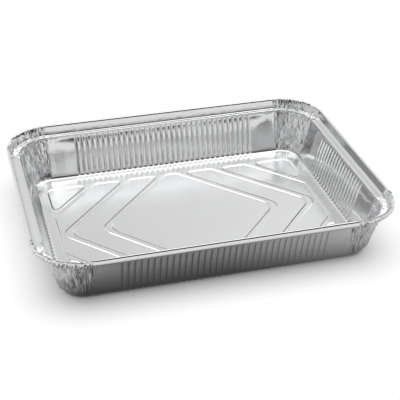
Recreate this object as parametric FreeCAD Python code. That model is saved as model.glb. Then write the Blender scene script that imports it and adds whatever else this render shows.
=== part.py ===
import FreeCAD, Part
import math
import os
from FreeCAD import Placement, Rotation, Vector

# Aluminium foil tray: one sheet, drawn to shape, with a curled edge and gathered corners.
# Millimetres, +Z up, the long side along X. The origin is the middle of the underside.

# Whole tray, over its curled edge
length = 325.0
width = 257.0
height = 52.0
corner_radius = 43.5
foil = 0.12

# Curled edge: a flap hangs outside, the curl runs over it, an upstand drops to a flat shelf
curl_width = 2.6
flap_drop = 5.2
upstand_drop = 7.5
upstand_lean = 19.0
shelf_width = 4.2
bead_radius = 3.0

# Wall and the rounded foot that turns it into the base
wall_lean = 16.2
foot_radius = 4.0

# Grooves pressed outwards down the walls, with a plain run between them and each corner's bend
groove_width = 3.3
groove_floor = 1.3
groove_depth = 0.9
groove_end_gap = 0.9
long_groove_pitch = 5.53
short_groove_pitch = 5.83
long_wall_plain = 25.0
short_wall_plain = 32.5

# Gathered corners: folds in the foil, deepest on the wall, with a short run past each bend
gather_run = 6.0
gather_folds = 14
rim_fold_depth = 0.55
shelf_fold_depth = 0.7
wall_fold_depth = 0.95
foot_fold_depth = 0.35

# Base: sunk panels, with a raised border and raised chevron ridges left between them
panel_depth = 0.8
panel_slope = 1.6
end_border = 8.5
side_border = 15.4
chevron_side_gap = 12.8
chevron_tip_gap = 0.8
chevron_pitch = 36.9
ridge_width = 5.4
chevron_tip_radius = 13.0
panel_corner_radius = 7.0
panel_point_radius = 2.4
tip_steps = 4
corner_steps = 3


def on_circle(centre, radius, degrees):
    """The points of a circle at the given angles, in the plane of the section."""
    spots = []
    for angle in degrees:
        turn = math.radians(angle)
        spots.append((centre[0] + radius * math.cos(turn), centre[1] + radius * math.sin(turn)))
    return spots


def section_line():
    """Middle of the foil from the flap to the base, as (inset from the outer edge, height)."""
    curl_radius = (curl_width - foil) / 2
    curl_top = height - foil / 2
    curl_centre = (curl_width / 2, curl_top - curl_radius * math.sin(math.radians(60)))
    curl = on_circle(curl_centre, curl_radius, [180, 120, 60, upstand_lean])
    shelf_z = height - upstand_drop
    drop = curl[-1][1] - shelf_z
    shelf_start = curl[-1][0] + drop * math.tan(math.radians(upstand_lean))
    shelf_end = shelf_start + shelf_width
    bead_turn = (90 + wall_lean) / 2
    bead = on_circle((shelf_end, shelf_z - bead_radius), bead_radius, [90, bead_turn, wall_lean])
    base_z = panel_depth + foil / 2
    foot_start_z = base_z + foot_radius * (1 - math.sin(math.radians(wall_lean)))
    foot_start = bead[-1][0] + (bead[-1][1] - foot_start_z) * math.tan(math.radians(wall_lean))
    foot_centre = (foot_start + foot_radius * math.cos(math.radians(wall_lean)), base_z + foot_radius)
    foot_turn = (180 + wall_lean + 270) / 2
    foot = on_circle(foot_centre, foot_radius, [180 + wall_lean, foot_turn, 270])
    flap_end = (curl[0][0], height - flap_drop)
    line = [flap_end] + curl + [(shelf_start, shelf_z)] + bead + foot
    folds = [rim_fold_depth] * 5 + [shelf_fold_depth] * 2 + [shelf_fold_depth, wall_fold_depth]
    folds += [wall_fold_depth, foot_fold_depth, 0.0]
    return line, folds


def skin_normals(line):
    """At each point, how far the skin moves for each millimetre that the foil grows thicker."""
    normals = [(-1.0, 0.0)]
    for before, here, after in zip(line, line[1:], line[2:]):
        sides = []
        for start, end in ((before, here), (here, after)):
            run = math.hypot(end[0] - start[0], end[1] - start[1])
            sides.append((-(end[1] - start[1]) / run, (end[0] - start[0]) / run))
        across = (sides[0][0] + sides[1][0], sides[0][1] + sides[1][1])
        share = 1 + sides[0][0] * sides[1][0] + sides[0][1] * sides[1][1]
        normals.append((across[0] / share, across[1] / share))
    normals.append((0.0, 1.0))
    return normals


line, fold_depths = section_line()
normals = skin_normals(line)
# Places of the wall's two ends in that line
bead_end = 8
foot_start = 9


def skin_point(level, side, fold=0.0):
    """A point of the section on its face (side 1) or its back (side -1), pushed back by a fold."""
    shift = side * foil / 2 - fold * fold_depths[level]
    inset, z = line[level]
    return inset + normals[level][0] * shift, z + normals[level][1] * shift


def flat(points):
    return Part.Face(Part.makePolygon(points + [points[0]]))


def close_up(faces):
    """One solid from the faces that surround it."""
    shell = Part.makeShell(faces)
    shell.sewShape()
    solid = Part.makeSolid(shell)
    if solid.Volume < 0:
        solid.reverse()
    return solid


def straight_wall(reach, half_run, pitch, zone):
    """One side between two corners, on +Y, with its outer edge at y = reach."""
    outline = []
    for level in range(len(line)):
        outline.append(skin_point(level, 1))
    for level in reversed(range(len(line))):
        outline.append(skin_point(level, -1))
    ring = [Vector(-half_run, reach - inset, z) for inset, z in outline]
    wall = flat(ring).extrude(Vector(2 * half_run, 0, 0))
    top = line[bead_end]
    bottom = line[foot_start]
    centre = Vector(0, reach - (top[0] + bottom[0]) / 2, (top[1] + bottom[1]) / 2)
    groove_length = math.hypot(top[0] - bottom[0], top[1] - bottom[1]) - 2 * groove_end_gap
    grooves = []
    count = int(zone / pitch + 0.01)
    for index in range(count):
        x = (index - (count - 1) / 2) * pitch
        groove = groove_wedge(groove_length)
        groove.Placement = Placement(centre + Vector(x, 0, 0), Rotation(Vector(1, 0, 0), -wall_lean))
        grooves.append(groove)
    out = Vector(0, math.cos(math.radians(wall_lean)), -math.sin(math.radians(wall_lean)))
    hollows = [groove.translated(out * -foil) for groove in grooves]
    return wall.fuse(grooves).cut(hollows)


def groove_wedge(groove_length):
    """The body that a groove sinks, from the middle of the foil outwards, with sloping ends."""
    depth = groove_depth + foil / 2
    half_width = groove_width / 2
    half_length = groove_length / 2
    half_floor = groove_floor / 2
    floor_length = half_length - (half_width - half_floor)
    return Part.makeWedge(-half_width, 0, -half_length, -floor_length, -half_floor,
                          half_width, depth, half_length, floor_length, half_floor)


def gathered_corner():
    """The corner towards +X and +Y about its own centre, folded like a fan."""
    bend = corner_radius * math.pi / 2
    steps = 2 * gather_folds
    rows = []
    for step in range(steps + 1):
        along = (bend + 2 * gather_run) * step / steps
        angle = math.radians(90) * min(max((along - gather_run) / bend, 0), 1)
        before = max(gather_run - along, 0)
        after = max(along - gather_run - bend, 0)
        out = Vector(math.cos(angle), math.sin(angle), 0)
        fold = 0.0
        if step % 2 == 0 and 0 < step < steps:
            fold = 0.85 + 0.15 * math.cos(2.2 * step)
        row = {1: [], -1: []}
        for side in row:
            for level in range(len(line)):
                inset, z = skin_point(level, side, fold)
                row[side].append(Vector(-after, -before, z) + out * (corner_radius - inset))
        rows.append(row)
    faces = []
    for number, (near, far) in enumerate(zip(rows, rows[1:])):
        for side in (1, -1):
            for level in range(len(line) - 1):
                a, b = near[side][level], near[side][level + 1]
                c, d = far[side][level + 1], far[side][level]
                if number % 2:
                    a, b, c, d = b, c, d, a
                faces += [flat([a, b, c]), flat([a, c, d])]
        for end in (0, -1):
            faces.append(flat([near[1][end], far[1][end], far[-1][end], near[-1][end]]))
    for row in (rows[0], rows[-1]):
        faces.append(flat(row[1] + row[-1][::-1]))
    toe = [row[-1][-1] for row in rows]
    return close_up(faces), toe


def rounded(corners, grow):
    """A closed outline from (x, y, radius, steps) corners, moved outwards by grow."""
    points = []
    count = len(corners)
    for index, (x, y, radius, steps) in enumerate(corners):
        before = corners[index - 1]
        after = corners[(index + 1) % count]
        into = Vector(x - before[0], y - before[1], 0).normalize()
        away = Vector(after[0] - x, after[1] - y, 0).normalize()
        turn = math.atan2(into.cross(away).z, into.dot(away))
        side = math.copysign(1, turn)
        round_radius = max(radius + side * grow, 0.3)
        right = Vector(into.y, -into.x, 0)
        corner = Vector(x, y, 0) + right * grow + into * (grow * math.tan(turn / 2))
        start = corner - into * (round_radius * math.tan(abs(turn) / 2))
        centre = start - right * (side * round_radius)
        for step in range(steps + 1):
            swing = Rotation(Vector(0, 0, 1), math.degrees(turn) * step / steps)
            points.append(centre + swing.multVec(start - centre))
    return points


def frustum(lower, upper):
    faces = [flat(lower), flat(upper)]
    for index in range(len(lower)):
        faces.append(flat([lower[index - 1], lower[index], upper[index], upper[index - 1]]))
    return close_up(faces)


def panel_corners():
    """The outlines of the sunk panels, halfway down their slopes, counter-clockwise."""
    end_x = length / 2 - line[-1][0] - end_border
    side_y = width / 2 - line[-1][0] - side_border
    outer_tip = end_x - chevron_tip_gap
    inner_tip = outer_tip - chevron_pitch
    last_tip = outer_tip + chevron_pitch
    lean = (inner_tip - chevron_side_gap) / side_y
    ridge_run = ridge_width * math.hypot(1, lean)
    tip = (chevron_tip_radius, tip_steps)
    point = (panel_point_radius, corner_steps)

    def at_side(tip_x):
        return tip_x - side_y * lean

    middle = inner_tip - ridge_run
    centre = [(middle, 0, *tip), (at_side(middle), side_y, *point), (-at_side(middle), side_y, *point),
              (-middle, 0, *tip), (-at_side(middle), -side_y, *point), (at_side(middle), -side_y, *point)]
    band = outer_tip - ridge_run
    inner_band = [(band, 0, *tip), (at_side(band), side_y, *point),
                  (at_side(inner_tip), side_y, *point), (inner_tip, 0, *tip),
                  (at_side(inner_tip), -side_y, *point), (at_side(band), -side_y, *point)]
    limit = last_tip - ridge_run
    turn_y = (limit - end_x) / lean
    outer_band = [(end_x, turn_y, *point), (at_side(limit), side_y, *point),
                  (at_side(outer_tip), side_y, *point), (outer_tip, 0, *tip),
                  (at_side(outer_tip), -side_y, *point), (at_side(limit), -side_y, *point),
                  (end_x, -turn_y, *point)]
    triangle = [(end_x, (last_tip - end_x) / lean, *point),
                (end_x, side_y, panel_corner_radius, corner_steps),
                (at_side(last_tip), side_y, *point)]
    return centre, inner_band, outer_band, triangle


def turned(corners, sign_x, sign_y):
    moved = [(sign_x * x, sign_y * y, radius, steps) for x, y, radius, steps in corners]
    return moved if sign_x * sign_y > 0 else moved[::-1]


def pressed_base(toe):
    """The flat of the base inside the foot, with its panels sunk to the underside."""
    edge = []
    for sign_x, sign_y in ((1, 1), (-1, 1), (-1, -1), (1, -1)):
        centre = Vector(sign_x * (length / 2 - corner_radius), sign_y * (width / 2 - corner_radius), 0)
        corner = [centre + Vector(sign_x * spot.x, sign_y * spot.y, spot.z) for spot in toe]
        edge += corner if sign_x * sign_y > 0 else corner[::-1]
    base = flat(edge).extrude(Vector(0, 0, foil))
    centre, inner_band, outer_band, triangle = panel_corners()
    outlines = [centre]
    for sign in (1, -1):
        outlines += [turned(inner_band, sign, 1), turned(outer_band, sign, 1)]
        outlines += [turned(triangle, sign, 1), turned(triangle, sign, -1)]
    pans = []
    for outline in outlines:
        floor = rounded(outline, -panel_slope / 2)
        brim = [spot + Vector(0, 0, panel_depth) for spot in rounded(outline, panel_slope / 2)]
        pans.append(frustum(floor, brim))
    hollows = [pan.translated(Vector(0, 0, foil)) for pan in pans]
    return base.fuse(pans).cut(hollows)


def foil_tray():
    corner, toe = gathered_corner()
    long_half = length / 2 - corner_radius - gather_run
    short_half = width / 2 - corner_radius - gather_run
    long_zone = length - 2 * corner_radius - 2 * long_wall_plain
    short_zone = width - 2 * corner_radius - 2 * short_wall_plain
    long_wall = straight_wall(width / 2, long_half, long_groove_pitch, long_zone)
    short_wall = straight_wall(length / 2, short_half, short_groove_pitch, short_zone)
    pieces = []
    for turn in (0, 180):
        pieces.append(long_wall.rotated(Vector(0, 0, 0), Vector(0, 0, 1), turn))
        pieces.append(short_wall.rotated(Vector(0, 0, 0), Vector(0, 0, 1), turn - 90))
    origin = Vector(0, 0, 0)
    corner.translate(Vector(length / 2 - corner_radius, width / 2 - corner_radius, 0))
    right_side = [corner, corner.mirror(origin, Vector(0, 1, 0))]
    pieces += right_side + [piece.mirror(origin, Vector(1, 0, 0)) for piece in right_side]
    return pressed_base(toe).fuse(pieces).removeSplitter()


os.makedirs("parts", exist_ok=True)
tray = foil_tray()
tray.exportStep("parts/foil_tray.step")
print("foil_tray", len(tray.Solids), "solid,", len(tray.Faces), "faces, valid", tray.isValid())
print("volume", round(tray.Volume), "mm3")
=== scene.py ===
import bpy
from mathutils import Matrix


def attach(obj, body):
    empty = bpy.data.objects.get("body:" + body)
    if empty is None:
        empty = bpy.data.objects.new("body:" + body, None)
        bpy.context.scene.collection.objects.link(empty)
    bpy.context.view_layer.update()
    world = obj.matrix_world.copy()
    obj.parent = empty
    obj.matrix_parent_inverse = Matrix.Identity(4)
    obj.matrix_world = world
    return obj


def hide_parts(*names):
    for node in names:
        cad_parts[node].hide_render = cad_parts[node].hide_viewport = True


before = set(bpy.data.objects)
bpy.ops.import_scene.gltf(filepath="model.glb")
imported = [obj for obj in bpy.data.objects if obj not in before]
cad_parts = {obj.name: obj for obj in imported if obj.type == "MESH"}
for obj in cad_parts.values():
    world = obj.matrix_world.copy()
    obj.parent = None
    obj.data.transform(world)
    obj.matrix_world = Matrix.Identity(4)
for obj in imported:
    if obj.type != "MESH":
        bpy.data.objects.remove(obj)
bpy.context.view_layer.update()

import bisect
import math
import random
import bmesh
import bpy
from mathutils import Matrix, Vector, noise

# Millimetres and degrees in every dictionary. A finished mesh is scaled to metres.
toMetres = 0.001
weld = 0.01  # points nearer than this are one point


def smooth(start, end, value):
    share = min(max((value - start) / (end - start), 0.0), 1.0)
    return share * share * (3 - 2 * share)


def ripple(x, y, size, seed):
    return noise.noise(Vector((x / size, y / size, seed)))  # about -0.6 to 0.6


# The sheet: one section, swept round the tray, with the base filled in

tray = {
    "length": 325.0,
    "width": 257.0,
    "height": 52.0,
    "cornerRadius": 43.5,
    "foil": 0.12,
    "curl": [(0.0, 2.0), (0.1, 1.5), (0.32, 1.05), (0.62, 0.5), (0.95, 0.12), (1.35, 0.0), (1.85, 0.18),
             (2.3, 0.9)],  # inset from the outer face, drop below the crest
    "flapDrop": 5.2,
    "flapShares": [0.5],
    "upstandLean": 19.0,
    "upstandShares": [0.12, 0.5, 0.72, 0.9],
    "upstandBow": 0.08,
    "shelfDrop": 8.3,
    "shelfWidth": 5.6,
    "shelfBend": 0.6,
    "shelfTilt": 11.0,
    "shelfShares": [0.15, 0.8],
    "beadRadius": 1.2,
    "beadSteps": 3,
    "wallLean": 16.2,
    "wallRows": [0.7, 1.6, 2.8, 4.3, 7.5, 13.0, 20.0, 27.0, 33.0, 37.0],
    "footRadius": 4.0,
    "footSteps": 3,
    "toeGuard": 1.2,  # a flat strip that ends the foot
    "cornerSteps": 60,
    "plainStations": [1, 2, 3, 4, 5, 6, 7, 8.5, 10, 12, 14.5, 17, 20, 23],  # from the bend's start
    "plainGap": 1.0,
}

grooves = {
    "width": 3.5,
    "floor": 0.2,
    "straight": 0.6,  # share of the slope that is straight, the rest rounds off
    "depth": 0.95,
    "top": 1.9,
    "bottom": 4.0,
    "endShare": 0.8,
    "longPitch": 5.53,
    "longCount": 34,
    "shortPitch": 5.83,
    "shortCount": 18,
    "stations": [-0.39, -0.31, -0.15, 0.0, 0.15, 0.31, 0.39],  # shares of the pitch
    "footFade": 1.6,  # how fast a groove dies out in the foot
}


def onCircle(centre, radius, degrees):
    spots = []
    for angle in degrees:
        turn = math.radians(angle)
        spots.append((centre[0] + radius * math.cos(turn), centre[1] + radius * math.sin(turn)))
    return spots


def sectionLine(s, panelDepth):
    # (inset from the outer edge, height, name of the part), from the flap's end to the base
    lean = math.radians(s["wallLean"])
    upLean = math.radians(s["upstandLean"])
    top = s["height"] - s["foil"] / 2
    curl = [(s["foil"] / 2 + x, top - drop) for x, drop in s["curl"]]
    flapEnd = s["height"] - s["flapDrop"]
    rows = [(curl[0][0], flapEnd, "flap")]
    rows += [(curl[0][0], flapEnd + (curl[0][1] - flapEnd) * share, "flap") for share in s["flapShares"]]
    rows += [(x, z, "curl") for x, z in curl]
    shelfZ = s["height"] - s["shelfDrop"]
    tilt = math.radians(s["shelfTilt"])
    foldX = curl[-1][0] + (curl[-1][1] - shelfZ) * math.tan(upLean)
    gutterZ = shelfZ - s["shelfWidth"] * math.tan(tilt)
    foldX += (shelfZ - gutterZ) * math.tan(upLean)
    reach = s["shelfBend"] * math.tan((math.pi / 2 - upLean + tilt) / 2)
    start = (foldX - reach * math.sin(upLean), gutterZ + reach * math.cos(upLean))
    bendCentre = (start[0] + s["shelfBend"] * math.cos(upLean), start[1] + s["shelfBend"] * math.sin(upLean))
    low = 180 + s["upstandLean"]
    high = 270 + s["shelfTilt"]
    bend = onCircle(bendCentre, s["shelfBend"], [low, (low + high) / 2, high])
    for share in s["upstandShares"]:
        bow = 4 * s["upstandBow"] * share * (1 - share)
        rows.append((curl[-1][0] + (bend[0][0] - curl[-1][0]) * share - bow,
                     curl[-1][1] + (bend[0][1] - curl[-1][1]) * share, "upstand"))
    rows.append((*bend[0], "upstand"))
    rows += [(x, z, "shelf") for x, z in bend[1:]]
    beadCentre = (foldX - (shelfZ - gutterZ) * math.tan(upLean) + s["shelfWidth"], shelfZ - s["beadRadius"])
    beadStart = 90 + s["shelfTilt"]
    turns = [beadStart - (beadStart - s["wallLean"]) * step / s["beadSteps"] for step in range(s["beadSteps"] + 1)]
    bead = onCircle(beadCentre, s["beadRadius"], turns)
    for share in s["shelfShares"]:
        rows.append((bend[-1][0] + (bead[0][0] - bend[-1][0]) * share,
                     bend[-1][1] + (bead[0][1] - bend[-1][1]) * share, "shelf"))
    rows += [(x, z, "bead") for x, z in bead]
    baseZ = panelDepth + s["foil"] / 2
    footZ = baseZ + s["footRadius"] * (1 - math.sin(lean))
    footX = bead[-1][0] + (bead[-1][1] - footZ) * math.tan(lean)
    wallLength = (bead[-1][1] - footZ) / math.cos(lean)
    for down in s["wallRows"]:
        rows.append((bead[-1][0] + down * math.sin(lean), bead[-1][1] - down * math.cos(lean), "wall"))
    turns = [180 + s["wallLean"] + (90 - s["wallLean"]) * step / s["footSteps"]
             for step in range(s["footSteps"] + 1)]
    foot = onCircle((footX + s["footRadius"] * math.cos(lean), baseZ + s["footRadius"]), s["footRadius"], turns)
    rows += [(x, z, "foot") for x, z in foot]
    rows.append((foot[-1][0] + s["toeGuard"], baseZ, "base"))
    return rows, wallLength


def faceNormals(rows):
    # Towards the food side, as (inset, height)
    normals = []
    for index in range(len(rows)):
        before = rows[max(index - 1, 0)]
        after = rows[min(index + 1, len(rows) - 1)]
        run = math.hypot(after[0] - before[0], after[1] - before[1])
        normals.append((-(after[1] - before[1]) / run, (after[0] - before[0]) / run))
    return normals


def downLine(rows):
    # Distance of each row along the sheet from the bead's lower end
    run = [0.0]
    for before, after in zip(rows, rows[1:]):
        run.append(run[-1] + math.hypot(after[0] - before[0], after[1] - before[1]))
    start = [run[i] for i, row in enumerate(rows) if row[2] == "bead"][-1]
    return [value - start for value in run]


def halfStations(half, pitch, count, s, g):
    # Distances from the middle of a side to the end of its straight run
    zone = pitch * count / 2
    places = [0.0]
    for index in range(count // 2):
        centre = pitch * (index + 0.5)
        places += [centre + share * pitch for share in g["stations"]]
    places.append(zone)
    places += [half - d for d in reversed(s["plainStations"]) if d < half - zone - s["plainGap"]]
    places.append(half)
    return places


def drawAlong(bm, edges, heading, places):
    here = 0.0
    for place in places:
        made = bmesh.ops.extrude_edge_only(bm, edges=edges)["geom"]
        verts = [part for part in made if isinstance(part, bmesh.types.BMVert)]
        fresh = set(verts)
        edges = [part for part in made if isinstance(part, bmesh.types.BMEdge) and set(part.verts) <= fresh]
        bmesh.ops.translate(bm, verts=verts, vec=heading * (place - here))
        here = place
    return edges


def sweepSides(bm, s, g, rows):
    # From the middle of the right side round one corner to the middle of the back, then mirrored twice
    halfLong = s["length"] / 2 - s["cornerRadius"]
    halfShort = s["width"] / 2 - s["cornerRadius"]
    level = bm.verts.layers.int.new("level")
    first = []
    for index, (inset, z, _) in enumerate(rows):
        vert = bm.verts.new((s["length"] / 2 - inset, 0, z))
        vert[level] = index
        first.append(vert)
    edges = [bm.edges.new(pair) for pair in zip(first, first[1:])]
    shortRun = halfStations(halfShort, g["shortPitch"], g["shortCount"], s, g)
    longRun = halfStations(halfLong, g["longPitch"], g["longCount"], s, g)
    edges = drawAlong(bm, edges, Vector((0, 1, 0)), shortRun[1:])
    verts = list({vert for edge in edges for vert in edge.verts})
    last = bmesh.ops.spin(bm, geom=verts + edges, cent=(halfLong, halfShort, 0), axis=(0, 0, 1),
                          angle=math.radians(90), steps=s["cornerSteps"])["geom_last"]
    edges = [part for part in last if isinstance(part, bmesh.types.BMEdge)]
    drawAlong(bm, edges, Vector((-1, 0, 0)), [halfLong - d for d in reversed(longRun[:-1])])
    for axis in ("X", "Y"):
        whole = bm.verts[:] + bm.edges[:] + bm.faces[:]
        bmesh.ops.mirror(bm, geom=whole, matrix=Matrix.Identity(4), merge_dist=weld, axis=axis)
    bmesh.ops.remove_doubles(bm, verts=bm.verts, dist=weld)
    print("sides swept")
    return level


# Sunk panels of the base, with the raised border and the chevron ridges left between them

panels = {
    "depth": 0.8,
    "slopeInsets": [0.55, 0.45, 0.45, 0.45, 0.55],
    "guard": 0.6,  # a flat strip outside the slope, and one inside, keep its edges crisp
    "floorGuard": 0.3,
    "endX": 127.0,
    "sideY": 86.2,
    "halfAngle": 48.36,  # between a chevron's side and the long middle line
    "tipGap": 0.8,
    "pitch": 36.9,
    "ridgeWidth": 5.4,
    "tipRadius": 13.0,
    "tipSteps": 9,
    "cornerRadius": 7.0,
    "pointRadius": 5.0,
    "pointSteps": 5,
    "gridStep": 16.0,
    "cutTouch": 0.001,
}


def panelOutlines(p):
    grow = sum(p["slopeInsets"]) / 2 + p["guard"]
    lean = 1 / math.tan(math.radians(p["halfAngle"]))
    across = 1 / math.sin(math.radians(p["halfAngle"]))
    ridge = p["ridgeWidth"] * across
    side = p["sideY"] + grow
    end = p["endX"] + grow
    outerTip = p["endX"] - p["tipGap"]
    innerTip = outerTip - p["pitch"]
    lastTip = outerTip + p["pitch"]
    tipOut = p["tipRadius"] + grow
    tipIn = p["tipRadius"] - grow
    point = p["pointRadius"] + grow
    corner = p["cornerRadius"] + grow

    def out(tip):
        return tip + grow * across

    def back(tip):
        return tip - grow * across

    def atSide(tip):
        return tip - side * lean

    middle = out(innerTip - ridge)
    centre = [(middle, 0, tipOut), (atSide(middle), side, point), (-atSide(middle), side, point),
              (-middle, 0, tipOut), (-atSide(middle), -side, point), (atSide(middle), -side, point)]
    band = out(outerTip - ridge)
    inner = back(innerTip)
    innerBand = [(band, 0, tipOut), (atSide(band), side, point), (atSide(inner), side, point),
                 (inner, 0, tipIn), (atSide(inner), -side, point), (atSide(band), -side, point)]
    limit = out(lastTip - ridge)
    inner = back(outerTip)
    turnY = (limit - end) / lean
    outerBand = [(end, turnY, point), (atSide(limit), side, point), (atSide(inner), side, point),
                 (inner, 0, tipIn), (atSide(inner), -side, point), (atSide(limit), -side, point),
                 (end, -turnY, point)]
    inner = back(lastTip)
    triangle = [(end, (inner - end) / lean, point), (end, side, corner), (atSide(inner), side, point)]
    return centre, innerBand, outerBand, triangle


def roundOff(bm, outline, p):
    verts = [bm.verts.new((x, y, 0)) for x, y, _ in outline]
    bm.faces.new(verts)
    for index, (x, y, radius) in enumerate(outline):
        before = Vector(outline[index - 1][:2])
        after = Vector(outline[(index + 1) % len(outline)][:2])
        here = Vector((x, y))
        turn = (here - before).angle(after - here)
        steps = p["tipSteps"] if y == 0 else p["pointSteps"]  # the chevrons' tips lie on the middle line
        bmesh.ops.bevel(bm, geom=[verts[index]], offset=radius * math.tan(turn / 2), offset_type="OFFSET",
                        affect="VERTICES", segments=steps, profile=0.5, material=-1)


def pressPanel(outline, p):
    bm = bmesh.new()
    roundOff(bm, outline, p)
    floor = max(bm.faces, key=lambda f: f.calc_area())
    bmesh.ops.inset_individual(bm, faces=[floor], thickness=p["guard"], use_even_offset=True)
    total = sum(p["slopeInsets"])
    gone = 0.0
    for step in p["slopeInsets"]:
        bmesh.ops.inset_individual(bm, faces=[floor], thickness=step, use_even_offset=True)
        drop = p["depth"] * (smooth(0, total, gone + step) - smooth(0, total, gone))
        bmesh.ops.translate(bm, verts=floor.verts, vec=(0, 0, -drop))
        gone += step
    bmesh.ops.inset_individual(bm, faces=[floor], thickness=p["floorGuard"], use_even_offset=True)
    bmesh.ops.triangulate(bm, faces=[floor], quad_method="BEAUTY", ngon_method="BEAUTY")
    return bm


def addCopy(bm, piece, scale, z):
    mesh = bpy.data.meshes.new("copy")
    piece.to_mesh(mesh)
    for vert in mesh.vertices:
        vert.co = Vector((vert.co.x * scale[0], vert.co.y * scale[1], vert.co.z + z))
    bm.from_mesh(mesh)
    bpy.data.meshes.remove(mesh)


def layBase(bm, p, s, level, lastRow):
    # One filled sheet joins the panels and the foot, and a grid of cuts gives it points for the soft waves
    rim = [e for e in bm.edges if e.is_boundary and all(v[level] == lastRow for v in e.verts)]
    sheet = bmesh.new()
    centre, innerBand, outerBand, triangle = panelOutlines(p)
    brimZ = p["depth"] + s["foil"] / 2
    for outline, copies in ((centre, [(1, 1)]), (innerBand, [(1, 1), (-1, 1)]), (outerBand, [(1, 1), (-1, 1)]),
                            (triangle, [(1, 1), (-1, 1), (1, -1), (-1, -1)])):
        pan = pressPanel(outline, p)
        for scale in copies:
            addCopy(sheet, pan, scale, brimZ)
        pan.free()
    toe = {}
    for edge in rim:
        for vert in edge.verts:
            if vert not in toe:
                toe[vert] = sheet.verts.new(vert.co)
    edges = [sheet.edges.new([toe[v] for v in edge.verts]) for edge in rim]
    edges += [e for e in sheet.edges if len(e.link_faces) == 1]
    bmesh.ops.triangle_fill(sheet, use_beauty=True, use_dissolve=False, edges=edges, normal=(0, 0, 1))
    tag = sheet.verts.layers.int.new("level")
    for vert in sheet.verts:
        vert[tag] = lastRow + 1
    mesh = bpy.data.meshes.new("base")
    sheet.to_mesh(mesh)
    bm.from_mesh(mesh)
    bpy.data.meshes.remove(mesh)
    sheet.free()
    level = bm.verts.layers.int["level"]
    bmesh.ops.remove_doubles(bm, verts=bm.verts, dist=weld)
    base = {vert for vert in bm.verts if vert[level] >= lastRow}
    step = p["gridStep"]
    for axis, reach in ((Vector((1, 0, 0)), s["length"] / 2), (Vector((0, 1, 0)), s["width"] / 2)):
        place = -math.floor(reach / step) * step
        while place < reach:
            faces = [face for face in bm.faces if base.issuperset(face.verts)]
            edges = {edge for face in faces for edge in face.edges}
            cut = bmesh.ops.bisect_plane(bm, geom=faces + list(edges) + list(base), dist=p["cutTouch"],
                                         plane_co=axis * place, plane_no=axis)["geom_cut"]
            base.update(part for part in cut if isinstance(part, bmesh.types.BMVert))
            place += step
    for vert in base:
        vert[level] = lastRow
    print("base laid")
    return level


# Gathers of the corners, and the small unevenness of thin foil

gathers = {
    "seed": 7,
    # Depth of the folds, and how far they settle outwards
    "rimFolds": {"flap": (1.7, 0.5), "curl": (1.0, 0.5), "upstand": (1.3, 0.15), "shelf": (0.6, 0.15)},
    "beadDepth": 0.7,
    "wallTop": 3.1,
    "wallFoot": 2.0,
    "footDepth": 0.5,
    "wallSettle": 0.35,
    "runs": {"right back": (3, 3), "back left": (0, 2), "left front": (-5, -5), "front right": (-5, -5)},
    "layers": 2,
    "overrun": 14,  # steps of a corner that the folds run on past it
    "wallSpans": [1, 1, 2, 2, 3],
    "rimSpans": [1, 1, 1, 2],
    "leastSwing": 0.35,
    "softReach": 12.0,
    "softDrop": 10.0,
    "softDepth": 0.5,
    "sharpAngle": 22.0,  # creased above this in the corners, and above the next in the grooves
    "valleyAngle": 38.0,
    "sharpReach": 8.0,
    "wallBelly": 0.55,
    "bellyBias": 0.8,
    "bellyEnds": 22.0,
    "tuck": 0.34,
    "tuckDrop": 2.0,
    "baseLift": 0.12,
    # Unevenness: amount, stretch in each direction, size, seed
    "rimDrift": (0.6, 1.0, 1.0, 6.0, 9.1),
    "rimGrain": (0.6, 1.4, 0.35, 1.7, 4.4),
    "skirt": (1.6, 1.9, 0.0, 1.7, 12.6),
    "raggedEnd": (2.5, 1.0, 1.0, 5.0, 2.2),
    "layerWeight": (1.2, 0.5, 1.0, 11.0, 20.0),
    "layerSkew": (5.0, 1.0, 0.4, 26.0, 60.0),
    "wallGrain": (0.3, 1.2, 1.0, 2.4, 33.0),
    "softCrease": (3.2, 1.0, 0.3, 3.4, 71.0),
    "wallWave": (0.2, 1.0, 0.8, 30.0, 5.7),
    "baseWave": (0.16, 1.0, 1.0, 46.0, 3.1),
    "baseRipple": (0.08, 1.0, 1.0, 21.0, 8.4),
}


def uneven(kind, x, y, shift=0.0):
    amount, stretchX, stretchY, size, seed = kind
    return amount * ripple(x * stretchX, y * stretchY, size, seed + shift)


def foldNodes(draw, start, end, spans, leastSwing):
    # A zigzag: places along the rim and heights that swing from side to side
    nodes = []
    place = start
    side = 1
    while place < end:
        nodes.append((place, side * draw.uniform(leastSwing, 1.0)))
        place += draw.choice(spans)
        side = -side
    return nodes


def foldHeight(nodes, place):
    index = bisect.bisect([node[0] for node in nodes], place)
    if index == 0 or index == len(nodes):
        return 0.0
    (x0, h0), (x1, h1) = nodes[index - 1], nodes[index]
    return h0 + (h1 - h0) * (place - x0) / (x1 - x0)


def cornerFolds(s, c):
    # For each corner the layers of the wall's folds and one line of the rim's
    draw = random.Random(c["seed"])
    bend = math.radians(90) * s["cornerRadius"]
    step = math.radians(90) / s["cornerSteps"] * s["cornerRadius"]
    start = -c["overrun"] * step
    end = bend + c["overrun"] * step
    wallSpans = [step * count for count in c["wallSpans"]]
    rimSpans = [step * count for count in c["rimSpans"]]
    folds = {}
    for name in c["runs"]:
        layers = [foldNodes(draw, start, end, wallSpans, c["leastSwing"]) for _ in range(c["layers"])]
        folds[name] = (layers, foldNodes(draw, start, end, rimSpans, c["leastSwing"]))
    return folds


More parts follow.
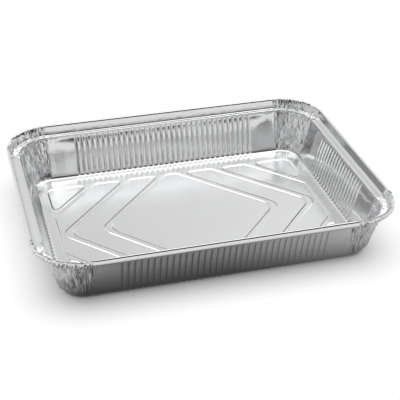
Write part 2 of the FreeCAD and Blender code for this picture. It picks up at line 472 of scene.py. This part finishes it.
def whereOnTray(s, co):
    # The nearest corner, the way out from the tray, the place along the rim from that corner's start,
    # the kind of side, and the distance from the middle of that side
    overX = abs(co.x) - (s["length"] / 2 - s["cornerRadius"])
    overY = abs(co.y) - (s["width"] / 2 - s["cornerRadius"])
    name = {(True, True): "right back", (False, True): "back left", (False, False): "left front",
            (True, False): "front right"}[(co.x > 0, co.y > 0)]
    signX = math.copysign(1, co.x)
    signY = math.copysign(1, co.y)
    if overX > 0 and overY > 0:
        turn = math.atan2(overY, overX)
        out = Vector((signX * math.cos(turn), signY * math.sin(turn), 0))
        return name, out, turn * s["cornerRadius"], "corner", 0.0
    if overX > overY and overX > 0:
        return name, Vector((signX, 0, 0)), overY, "short", co.y
    if overY > 0:
        return name, Vector((0, signY, 0)), math.radians(90) * s["cornerRadius"] - overX, "long", co.x
    return name, None, 0.0, "base", 0.0


def grooveShare(g, alongSide, side, down, wallLength):
    # 1 on a groove's floor, 0 on the wall beside it
    pitch, count = (g["longPitch"], g["longCount"]) if side == "long" else (g["shortPitch"], g["shortCount"])
    index = min(max(round(alongSide / pitch + (count - 1) / 2), 0), count - 1)
    centre = (index - (count - 1) / 2) * pitch
    half = g["width"] / 2
    low = wallLength + g["bottom"] - half
    high = g["top"] + half
    past = max(high - down, down - low, 0.0)
    away = math.hypot(alongSide - centre, past * g["endShare"])
    share = min(max((away - g["floor"] / 2) / (half - g["floor"] / 2), 0.0), 1.0)
    return 1 - g["straight"] * share - (1 - g["straight"]) * smooth(0, 1, share)


def rimPush(c, kind, low, down, along, inside, nodes):
    # Fine ragged folds of the flap, the curl, the upstand and the shelf, inside the corners alone
    share = smooth(-0.6, 0.6, inside)
    depth, settle = c["rimFolds"][kind]
    lift = foldHeight(nodes, along + uneven(c["rimDrift"], along, down))
    push = share * low * uneven(c["skirt"], along, 0.0)
    return push + share * depth * (0.9 * lift + uneven(c["rimGrain"], along, down) - settle)


def wallPush(c, depth, down, along, inside, layers):
    # Layers of folds that wander over each other down the wall
    share = smooth(-1.0, 2.5, inside + uneven(c["raggedEnd"], down, along))
    lift = 0.0
    total = 0.0
    for index, nodes in enumerate(layers):
        weight = max(0.15, 0.5 + uneven(c["layerWeight"], along, down, 7 * index))
        skew = uneven(c["layerSkew"], down, along, 5 * index)
        lift += weight * foldHeight(nodes, along + skew)
        total += weight
    lift = lift / total * 1.25 + uneven(c["wallGrain"], along, down)
    push = share * depth * (lift - c["wallSettle"])
    # Soft creases that run out of the folds into the plain wall
    beside = max(-inside, 0.0)
    fade = math.exp(-beside / c["softReach"]) * math.exp(-max(down, 0.0) / c["softDrop"]) * (1 - share)
    return push + fade * c["softDepth"] * (1 - abs(uneven(c["softCrease"], along + 0.8 * down, down)))


def plainPush(c, down, wallLength, along, alongSide, pastBend):
    # The wall between the rim and the foot: a tuck under the bead, a soft belly and slow waves
    wave = uneven(c["wallWave"], alongSide + 3 * along, down)
    push = wave * smooth(0, 6, down) * smooth(0, 5, wallLength - down)
    under = down / c["tuckDrop"]
    push -= c["tuck"] * under * math.exp(1 - under)
    belly = math.sin(math.pi * (down / wallLength) ** c["bellyBias"])
    return push + c["wallBelly"] * smooth(0, c["bellyEnds"], pastBend) * belly


def shapeSheet(bm, s, g, c, rows, wallLength, level):
    # Every point moves along the section's normal, inwards where the push is above 0
    normals = faceNormals(rows)
    downs = downLine(rows)
    folds = cornerFolds(s, c)
    bend = math.radians(90) * s["cornerRadius"]
    baseZ = rows[-1][1]
    flapEnd = rows[0][1]
    curlStart = next(z for _, z, kind in rows if kind == "curl")
    for vert in bm.verts:
        row = vert[level]
        if row >= len(rows) - 1 or vert.co.z < baseZ + weld:
            vert.co.z += (uneven(c["baseWave"], vert.co.x, vert.co.y) + uneven(c["baseRipple"], vert.co.x, vert.co.y)
                          + c["baseLift"])
            continue
        _, height, kind = rows[row]
        down = downs[row]
        name, out, along, side, alongSide = whereOnTray(s, vert.co)
        if out is None:
            continue
        layers, rimNodes = folds[name]
        startRun, endRun = c["runs"][name]
        inside = min(along - startRun, bend - endRun - along)
        footShare = (height - baseZ) / s["footRadius"]
        if kind in c["rimFolds"]:
            low = (curlStart - height) / (curlStart - flapEnd) if kind == "flap" else 0.0
            push = rimPush(c, kind, low, down, along, inside, rimNodes)
        else:
            onWall = c["wallTop"] + (c["wallFoot"] - c["wallTop"]) * min(max(down / wallLength, 0), 1)
            depth = {"bead": c["beadDepth"], "wall": onWall, "foot": c["footDepth"] * footShare}[kind]
            push = wallPush(c, depth, down, along, inside, layers)
            if side != "corner":
                fade = min(1.0, footShare * g["footFade"]) if kind == "foot" else 1.0
                push -= g["depth"] * grooveShare(g, alongSide, side, down, wallLength) * fade
            if kind == "wall":
                pastBend = {"short": -along, "long": along - bend, "corner": 0.0}[side]
                push += plainPush(c, down, wallLength, along, alongSide, pastBend)
        across, rise = normals[row]
        vert.co += out * (-across * push) + Vector((0, 0, rise * push))
    print("sheet shaped")


def creaseEdges(bm, s, c, level):
    # Folds of the corners and valleys of the grooves read as creases, all else as smooth foil
    halfLong = s["length"] / 2 - s["cornerRadius"] - c["sharpReach"]
    halfShort = s["width"] / 2 - s["cornerRadius"] - c["sharpReach"]
    limit = math.radians(c["sharpAngle"])
    valley = math.radians(c["valleyAngle"])
    for edge in bm.edges:
        middle = (edge.verts[0].co + edge.verts[1].co) / 2
        if len(edge.link_faces) != 2 or edge.verts[0][level] == edge.verts[1][level]:
            continue
        gathered = abs(middle.x) > halfLong and abs(middle.y) > halfShort
        if edge.calc_face_angle(0.0) > (limit if gathered else valley):
            edge.smooth = False


def makeTray():
    rows, wallLength = sectionLine(tray, panels["depth"])
    bm = bmesh.new()
    level = sweepSides(bm, tray, grooves, rows)
    level = layBase(bm, panels, tray, level, len(rows) - 1)
    shapeSheet(bm, tray, grooves, gathers, rows, wallLength, level)
    bmesh.ops.recalc_face_normals(bm, faces=bm.faces)
    for face in bm.faces:
        face.smooth = True
    creaseEdges(bm, tray, gathers, level)
    bmesh.ops.scale(bm, vec=(toMetres, toMetres, toMetres), verts=bm.verts)
    mesh = bpy.data.meshes.new("foilTray")
    bm.to_mesh(mesh)
    bm.free()
    piece = bpy.data.objects.new("foilTray", mesh)
    bpy.context.scene.collection.objects.link(piece)
    wall = piece.modifiers.new("foil", "SOLIDIFY")
    wall.thickness = tray["foil"] * toMetres
    wall.offset = 0.0
    print("tray made")
    return piece


# Shader maths: a wrapped socket, so that sums read as sums

class Wire:
    def __init__(self, tree, socket=None):
        self.tree = tree
        self.socket = socket

    def node(self, kind, settings=None, inputs=None, output=0):
        made = self.tree.nodes.new(kind)
        for name, value in (settings or {}).items():
            if name == "stops":
                ramp = made.color_ramp
                while len(ramp.elements) < len(value):
                    ramp.elements.new(0.5)
                for element, (place, shade) in zip(ramp.elements, value):
                    element.position = place
                    element.color = (shade, shade, shade, 1.0)
            else:
                setattr(made, name, value)
        for name, value in (inputs or {}).items():
            if isinstance(value, Wire):
                self.tree.links.new(value.socket, made.inputs[name])
            else:
                made.inputs[name].default_value = value
        return Wire(self.tree, made.outputs[output] if made.outputs else None)

    def twin(self, output):
        # Another output of the same node
        return Wire(self.tree, self.socket.node.outputs[output])

    def maths(self, operation, one, other=0.0):
        return self.node("ShaderNodeMath", {"operation": operation}, {0: one, 1: other})

    def __add__(self, other):
        return self.maths("ADD", self, other)

    def __radd__(self, other):
        return self.maths("ADD", other, self)

    def __sub__(self, other):
        return self.maths("SUBTRACT", self, other)

    def __rsub__(self, other):
        return self.maths("SUBTRACT", other, self)

    def __mul__(self, other):
        return self.maths("MULTIPLY", self, other)

    def __rmul__(self, other):
        return self.maths("MULTIPLY", other, self)


def blankTree(owner):
    owner.use_nodes = True
    owner.node_tree.nodes.clear()
    return Wire(owner.node_tree)


def easeTo(n, value, start, end, low=0.0, high=1.0, way="SMOOTHSTEP"):
    return n.node("ShaderNodeMapRange", {"interpolation_type": way}, {
        "Value": value, "From Min": start, "From Max": end, "To Min": low, "To Max": high})


def blend(n, share, one, other):
    # Colours go in at a Mix node's sockets 6 and 7 and come out at 2
    return n.node("ShaderNodeMix", {"data_type": "RGBA"}, {"Factor": share, 6: one, 7: other}, 2)


foil = {
    "color": (0.80, 0.805, 0.81, 1.0),
    "roughness": 0.12,
    "baseRoughness": 0.10,  # added on the base, which the press leaves duller
    "baseFrom": 6.0,
    "baseFull": 1.5,
    "roughnessSwing": 0.05,
    "cloudScale": 35.0,  # scales are per metre
    "grainScale": 900.0,
    "grainBump": 0.008,
    "crinkleScale": 160.0,
    "crinkleBump": 0.06,
}


def foilMaterial(f):
    material = bpy.data.materials.new("foil")
    n = blankTree(material)
    place = n.node("ShaderNodeTexCoord", output="Object")
    cloud = n.node("ShaderNodeTexNoise", {}, {"Vector": place, "Scale": f["cloudScale"], "Detail": 3.0}, "Fac")
    grain = n.node("ShaderNodeTexNoise", {}, {"Vector": place, "Scale": f["grainScale"], "Detail": 2.0}, "Fac")
    crinkle = n.node("ShaderNodeTexNoise", {}, {"Vector": place, "Scale": f["crinkleScale"], "Detail": 2.0}, "Fac")
    relief = grain * (f["grainBump"] * toMetres) + crinkle * (f["crinkleBump"] * toMetres)
    height = n.node("ShaderNodeSeparateXYZ", {}, {"Vector": place}, "Z")
    onBase = easeTo(n, height, f["baseFull"] * toMetres, f["baseFrom"] * toMetres, 1.0, 0.0, "LINEAR")
    rough = (cloud - 0.5) * f["roughnessSwing"] + onBase * f["baseRoughness"] + f["roughness"]
    bump = n.node("ShaderNodeBump", {}, {"Strength": 1.0, "Distance": 1.0, "Height": relief})
    shader = n.node("ShaderNodeBsdfPrincipled", {}, {
        "Base Color": f["color"], "Metallic": 1.0, "Roughness": rough, "Normal": bump})
    n.node("ShaderNodeOutputMaterial", {}, {"Surface": shader})
    return material


# Studio: pale floor, a wide soft light overhead and pale and dark sides, all in the world's light; in reflections
# the floor glows with a painted shadow round the tray

studio = {
    "floorSize": 8000.0,
    "floorDrop": 0.1,
    "floorShade": 0.95,
    # Distances from the tray's outer edge, below 0 under the tray
    "whiteFrom": -27.0,
    "whiteTo": 20.0,
    # Painted shadow of the floor in reflections: where its grey starts and ends, its shift to the sides, and its
    # greys
    "paintedShadowFrom": -20.0,
    "paintedShadowTo": 180.0,
    "paintedShadowLeft": 0.8,  # the painted shadow in the floor's reflection pales faster to the left, a little to the right
    "paintedShadowRight": 0.12,
    "paintedShadowStops": [(0.0, 0.06), (0.05, 0.14), (0.10, 0.28), (0.20, 0.56), (0.35, 0.76), (0.52, 0.86), (1.0, 0.95)],
    "overhead": 1.8,
    "zenith": 0.95,
    "zenithFrom": 0.94,  # heights on a ball of radius 1 round the tray
    "zenithFull": 0.985,
    "lampFront": 0.80,
    "lampBack": 0.79,
    "lampTurn": 0.3,
    "lampSoft": 0.035,
    "middleFrom": 0.20,
    "middleFull": 0.27,
    "highFrom": 0.62,
    "highFull": 0.68,
    # Light round the tray at three heights: 0 and 1 in front, 0.25 left, 0.5 behind, 0.75 right
    "lowStops": [(0.0, 0.92), (0.03, 0.7), (0.15, 0.65), (0.22, 0.8), (0.75, 0.6), (0.89, 0.45), (0.93, 0.92),
                 (1.0, 0.92)],
    "middleStops": [(0.0, 0.05), (0.04, 0.06), (0.10, 0.60), (0.16, 0.70), (0.24, 0.35), (0.33, 0.5), (0.40, 0.95),
                    (0.45, 0.9), (0.50, 0.72), (0.572, 1.0), (0.65, 0.85), (0.70, 1.5), (0.76, 1.5), (0.81, 0.4),
                    (0.86, 0.3), (0.905, 0.05), (1.0, 0.05)],
    "highStops": [(0.0, 0.05), (0.04, 0.06), (0.10, 0.60), (0.16, 0.70), (0.24, 0.35), (0.33, 0.5), (0.40, 0.95),
                  (0.47, 0.9), (0.49, 0.12), (0.585, 0.12), (0.605, 0.85), (0.65, 0.85), (0.70, 1.5), (0.76, 1.5),
                  (0.81, 0.4), (0.86, 0.3), (0.905, 0.05), (1.0, 0.05)],
}


def makeWorld(s):
    world = bpy.data.worlds.new("studio")
    bpy.context.scene.world = world
    n = blankTree(world)
    way = n.node("ShaderNodeTexCoord", output="Generated")
    x = n.node("ShaderNodeSeparateXYZ", {}, {"Vector": way})
    y = x.twin("Y")
    z = x.twin("Z")
    around = n.maths("ARCTAN2", x, y) * (0.5 / math.pi) + 0.5
    low = n.node("ShaderNodeValToRGB", {"stops": s["lowStops"]}, {"Fac": around}, "Color")
    middle = n.node("ShaderNodeValToRGB", {"stops": s["middleStops"]}, {"Fac": around}, "Color")
    high = n.node("ShaderNodeValToRGB", {"stops": s["highStops"]}, {"Fac": around}, "Color")
    sides = blend(n, easeTo(n, z, s["middleFrom"], s["middleFull"]), low, middle)
    sides = blend(n, easeTo(n, z, s["highFrom"], s["highFull"]), sides, high)
    lampEdge = easeTo(n, y, -s["lampTurn"], s["lampTurn"], s["lampFront"], s["lampBack"])
    above = easeTo(n, z - lampEdge, 0.0, s["lampSoft"])
    glow = easeTo(n, z, s["zenithFrom"], s["zenithFull"], s["overhead"], s["zenith"])
    lamp = n.node("ShaderNodeCombineColor", {}, {0: glow, 1: glow, 2: glow})
    sky = blend(n, above, sides, lamp)
    seen = n.node("ShaderNodeLightPath", output="Is Camera Ray")
    light = n.node("ShaderNodeBackground", {}, {"Color": blend(n, seen, sky, (1, 1, 1, 1)), "Strength": 1.0})
    n.node("ShaderNodeOutputWorld", {}, {"Surface": light})
    print("world made")


def straightHalf(size):
    return (size / 2 - tray["cornerRadius"]) * toMetres


def outside(n, x, y):
    # Distance from the tray's outer edge, negative under the tray
    overX = n.maths("MAXIMUM", n.maths("ABSOLUTE", x) - straightHalf(tray["length"]), 0.0)
    overY = n.maths("MAXIMUM", n.maths("ABSOLUTE", y) - straightHalf(tray["width"]), 0.0)
    return n.maths("SQRT", overX * overX + overY * overY) - tray["cornerRadius"] * toMetres


def floorMaterial(s):
    # White to the camera away from the tray, shaded paper near it, and in reflections a glowing floor with a painted
    # shadow, dark near the tray and paling outwards
    material = bpy.data.materials.new("paper")
    n = blankTree(material)
    x = n.node("ShaderNodeSeparateXYZ", {}, {"Vector": n.node("ShaderNodeTexCoord", output="Object")})
    y = x.twin("Y")
    away = outside(n, x, y)
    seen = n.node("ShaderNodeLightPath", output="Is Camera Ray")
    glossy = seen.twin("Is Glossy Ray")
    paper = n.node("ShaderNodeBsdfDiffuse", {}, {"Color": (s["floorShade"],) * 3 + (1.0,)})
    white = n.node("ShaderNodeEmission", {}, {"Color": (1, 1, 1, 1), "Strength": 1.0})
    fade = easeTo(n, away, s["whiteFrom"] * toMetres, s["whiteTo"] * toMetres, way="LINEAR")
    shader = n.node("ShaderNodeMixShader", {}, {0: fade * seen, 1: paper, 2: white})
    # Painted shadow: to glossy rays the floor glows with a grey that is dark by the tray and pale far off, standing
    # in for the tray's shadow on the floor
    leftOf = n.maths("MAXIMUM", 0.0 - x - straightHalf(tray["length"]), 0.0)
    rightOf = n.maths("MAXIMUM", x, 0.0)
    reach = away + leftOf * s["paintedShadowLeft"] + rightOf * s["paintedShadowRight"]
    reach = easeTo(n, reach, s["paintedShadowFrom"] * toMetres, s["paintedShadowTo"] * toMetres, way="LINEAR")
    paintedShadowTone = n.node("ShaderNodeValToRGB", {"stops": s["paintedShadowStops"]}, {"Fac": reach}, "Color")
    paintedShadowGlow = n.node("ShaderNodeEmission", {}, {"Color": paintedShadowTone, "Strength": 1.0})
    shader = n.node("ShaderNodeMixShader", {}, {0: glossy, 1: shader, 2: paintedShadowGlow})
    n.node("ShaderNodeOutputMaterial", {}, {"Surface": shader})
    return material


def makeFloor(s):
    bm = bmesh.new()
    bmesh.ops.create_grid(bm, x_segments=1, y_segments=1, size=s["floorSize"] * toMetres / 2)
    bmesh.ops.translate(bm, verts=bm.verts, vec=(0, 0, -s["floorDrop"] * toMetres))
    mesh = bpy.data.meshes.new("floor")
    bm.to_mesh(mesh)
    bm.free()
    floor = bpy.data.objects.new("floor", mesh)
    bpy.context.scene.collection.objects.link(floor)
    mesh.materials.append(floorMaterial(s))
    print("floor made")
    return floor


camera = {
    "place": (-220.42, -838.35, 527.78),
    "heading": 15.334,
    "down": 30.394,
    "lens": 95.30,
    "sensor": 36.0,
    "shift": (-0.00465, -0.00175),
}


def makeCamera(c):
    data = bpy.data.cameras.new("camera")
    data.lens = c["lens"]
    data.sensor_width = c["sensor"]
    data.shift_x, data.shift_y = c["shift"]
    eye = bpy.data.objects.new("camera", data)
    eye.location = Vector(c["place"]) * toMetres
    eye.rotation_euler = (math.radians(90 - c["down"]), 0, -math.radians(c["heading"]))
    bpy.context.scene.collection.objects.link(eye)
    bpy.context.scene.camera = eye
    print("camera made")


makeCamera(camera)
makeWorld(studio)
makeFloor(studio)
piece = makeTray()
piece.data.materials.append(foilMaterial(foil))
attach(piece, "root")
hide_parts("foil_tray")
print("foil put on")

bpy.context.scene.view_settings.view_transform = "Standard"
